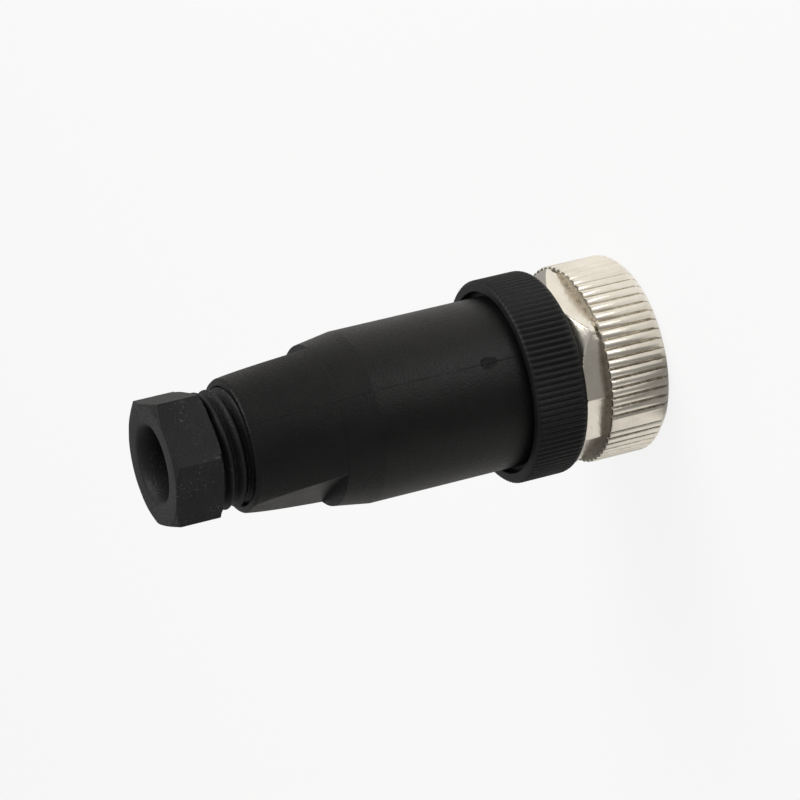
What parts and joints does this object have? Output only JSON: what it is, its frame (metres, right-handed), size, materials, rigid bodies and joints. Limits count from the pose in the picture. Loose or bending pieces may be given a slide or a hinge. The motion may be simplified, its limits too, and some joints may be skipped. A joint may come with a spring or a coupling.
{
  "type": "M12 cable connector",
  "caption": "Straight round cable connector with a knurled metal coupling nut, a knurled plastic ring, a tapered shell and a hexagonal cable gland nut.",
  "frame": {"origin": "centre of the coupling nut's front rim, in the plane the part stands on", "axes": "+Z along the axis from the mating face to the cable end; the coding keyway points along +Y"},
  "size_m": [0.0206, 0.0206, 0.0512],
  "materials": {
    "nickel": "nickel-plated, satin",
    "black_plastic": "matte, fine grain",
    "gland_plastic": "matte, speckled",
    "carrier_plastic": "matte",
    "gold": "gold-plated",
    "steel": "plain",
    "rubber": "matte",
    "cage_plastic": "matte"
  },
  "bodies": {
    "insert": {"contact_carrier": "carrier_plastic", "contact_1": "gold", "contact_2": "gold", "contact_3": "gold", "contact_4": "gold", "contact_5": "gold", "retaining_clip": "steel", "face_seal": "rubber", "shell_seal": "rubber"},
    "coupling_nut": {"coupling_nut": "nickel"},
    "union_ring": {"union_ring": "black_plastic"},
    "shell": {"shell": "black_plastic", "cable_grommet": "rubber"},
    "clamping_cage": {"clamping_cage": "cage_plastic"},
    "gland_nut": {"gland_nut": "gland_plastic"},
    "terminal_screw_1": {"terminal_screw_1": "steel"},
    "terminal_screw_2": {"terminal_screw_2": "steel"},
    "terminal_screw_3": {"terminal_screw_3": "steel"},
    "terminal_screw_4": {"terminal_screw_4": "steel"},
    "terminal_screw_5": {"terminal_screw_5": "steel"}
  },
  "joints": [
    {"name": "coupling_turn", "type": "hinge", "parent": "insert", "child": "coupling_nut", "pos_m": [0, 0, 0.0045], "axis": [0, 0, 1], "continuous": true},
    {"name": "union_turn", "type": "hinge", "parent": "insert", "child": "union_ring", "pos_m": [0, 0, 0.012], "axis": [0, 0, 1], "range_deg": [-720.5, 0]},
    {"name": "shell_travel", "type": "slide", "parent": "insert", "child": "shell", "axis": [0, 0, 1], "range_m": [0, 0.002]},
    {"name": "gland_travel", "type": "slide", "parent": "shell", "child": "clamping_cage", "axis": [0, 0, 1], "range_m": [-0.0025, 0.00375]},
    {"name": "gland_turn", "type": "hinge", "parent": "clamping_cage", "child": "gland_nut", "pos_m": [0, 0, 0.0455], "axis": [0, 0, 1], "range_deg": [-720.5, 1080.5]},
    {"name": "terminal_screw_1_turn", "type": "hinge", "parent": "insert", "child": "terminal_screw_1", "pos_m": [-0.00389, 0.00389, 0.0165], "axis": [-0.7071, 0.7071, 0], "range_deg": [0, 360]},
    {"name": "terminal_screw_2_turn", "type": "hinge", "parent": "insert", "child": "terminal_screw_2", "pos_m": [0.00389, 0.00389, 0.0165], "axis": [0.7071, 0.7071, 0], "range_deg": [0, 360]},
    {"name": "terminal_screw_3_turn", "type": "hinge", "parent": "insert", "child": "terminal_screw_3", "pos_m": [0.00389, -0.00389, 0.0165], "axis": [0.7071, -0.7071, 0], "range_deg": [0, 360]},
    {"name": "terminal_screw_4_turn", "type": "hinge", "parent": "insert", "child": "terminal_screw_4", "pos_m": [-0.00389, -0.00389, 0.0165], "axis": [-0.7071, -0.7071, 0], "range_deg": [0, 360]},
    {"name": "terminal_screw_5_turn", "type": "hinge", "parent": "insert", "child": "terminal_screw_5", "pos_m": [0.0015, 0, 0.0219], "axis": [1, 0, 0], "range_deg": [0, 360]}
  ],
  "couplings": [
    {"joint": "union_turn", "follows": "shell_travel", "rad_per_m": -6283.2},
    {"joint": "gland_turn", "follows": "gland_travel", "rad_per_m": 5026.5}
  ]
}
